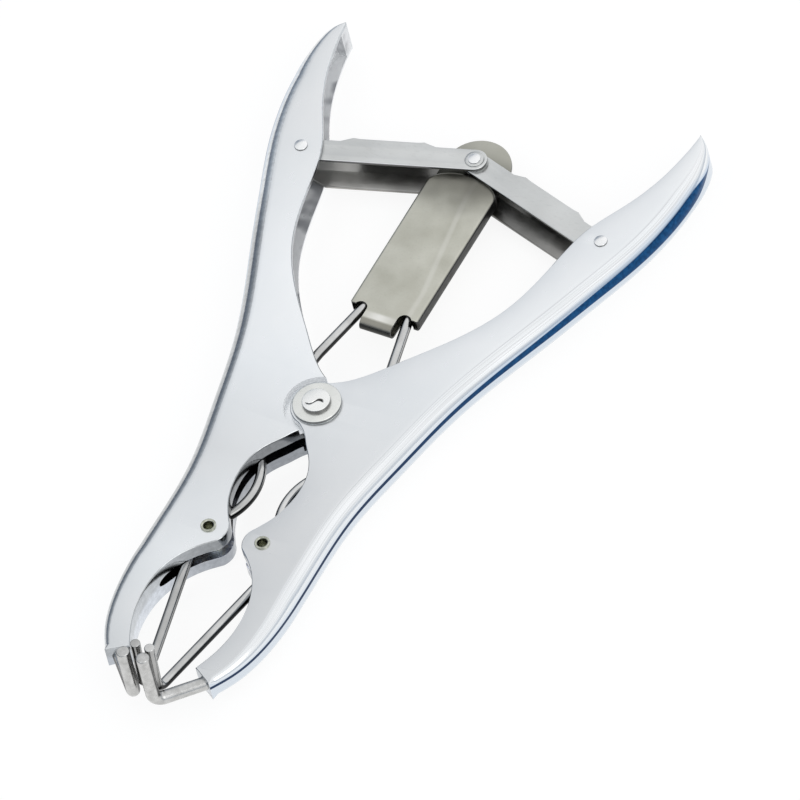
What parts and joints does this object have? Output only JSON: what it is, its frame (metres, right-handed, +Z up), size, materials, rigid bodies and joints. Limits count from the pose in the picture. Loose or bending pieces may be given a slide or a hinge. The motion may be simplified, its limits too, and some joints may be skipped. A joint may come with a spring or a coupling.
{
  "type": "elastrator pliers",
  "caption": "Elastrator pliers: squeezing two hinged hollow handles spreads four upright prongs that stretch a rubber ring, driven by links, a slide plate and bent pull wires.",
  "frame": {"origin": "centre of the main pivot's lower rivet head, the face that the tool rests on", "axes": "+Z up along the prongs and the pivot, +Y from the pivot to the handles, +X to the right arm"},
  "size_m": [0.1288, 0.2319, 0.0287],
  "materials": {
    "plated_casting": "bright zinc plate, satin flats and polished backs",
    "rivet_steel": "zinc plated, peened",
    "wire_steel": "drawn wire, smooth",
    "guide_steel": "turned and flared",
    "link_steel": "satin pressed sheet",
    "plate_steel": "warm satin stainless sheet"
  },
  "bodies": {
    "pivot": {"main_rivet": "rivet_steel", "main_washer_top": "rivet_steel", "main_washer_bottom": "rivet_steel", "pivot_bush": "rivet_steel"},
    "right_arm_body": {"right_arm": "plated_casting", "right_fixed_prong": "wire_steel", "right_handle_rivet": "rivet_steel", "right_guide_rivet": "guide_steel"},
    "left_arm_body": {"left_arm": "plated_casting", "left_fixed_prong": "wire_steel", "left_handle_rivet": "rivet_steel", "left_guide_rivet": "guide_steel"},
    "slide_body": {"slide_plate": "plate_steel", "link_rivet": "rivet_steel", "link_spacer_top": "link_steel", "link_spacer_bottom": "link_steel"},
    "right_link_body": {"right_link": "link_steel"},
    "left_link_body": {"left_link": "link_steel"},
    "right_wire_body": {"right_wire": "wire_steel"},
    "left_wire_body": {"left_wire": "wire_steel"}
  },
  "joints": [
    {"name": "right_arm_hinge", "type": "hinge", "parent": "pivot", "child": "right_arm_body", "pos_m": [0, 0, 0.0086], "axis": [0, 0, 1], "range_deg": [0, 10]},
    {"name": "left_arm_hinge", "type": "hinge", "parent": "pivot", "child": "left_arm_body", "pos_m": [0, 0, 0.0086], "axis": [0, 0, 1], "range_deg": [-10, 0]},
    {"name": "plate_slide", "type": "slide", "parent": "pivot", "child": "slide_body", "axis": [0, 1, 0], "range_m": [0, 0.0327]},
    {"name": "right_link_hinge", "type": "hinge", "parent": "right_arm_body", "child": "right_link_body", "pos_m": [0.0486, 0.0805, 0.0086], "axis": [0, 0, 1], "range_deg": [-43.3, 0]},
    {"name": "left_link_hinge", "type": "hinge", "parent": "left_arm_body", "child": "left_link_body", "pos_m": [-0.0486, 0.0805, 0.0086], "axis": [0, 0, 1], "range_deg": [0, 43.3]},
    {"name": "right_wire_hinge", "type": "hinge", "parent": "slide_body", "child": "right_wire_body", "pos_m": [0.006, 0.043, 0.0086], "axis": [0, 0, 1], "range_deg": [0, 8]},
    {"name": "left_wire_hinge", "type": "hinge", "parent": "slide_body", "child": "left_wire_body", "pos_m": [-0.006, 0.043, 0.0086], "axis": [0, 0, 1], "range_deg": [-8, 0]}
  ],
  "couplings": [
    {"joint": "left_arm_hinge", "follows": "right_arm_hinge", "ratio": -1},
    {"joint": "plate_slide", "follows": "right_arm_hinge", "m_per_rad": 0.187},
    {"joint": "right_link_hinge", "follows": "right_arm_hinge", "ratio": -4.32},
    {"joint": "left_link_hinge", "follows": "right_arm_hinge", "ratio": 4.32},
    {"joint": "right_wire_hinge", "follows": "right_arm_hinge", "ratio": 0.73},
    {"joint": "left_wire_hinge", "follows": "right_arm_hinge", "ratio": -0.73}
  ]
}
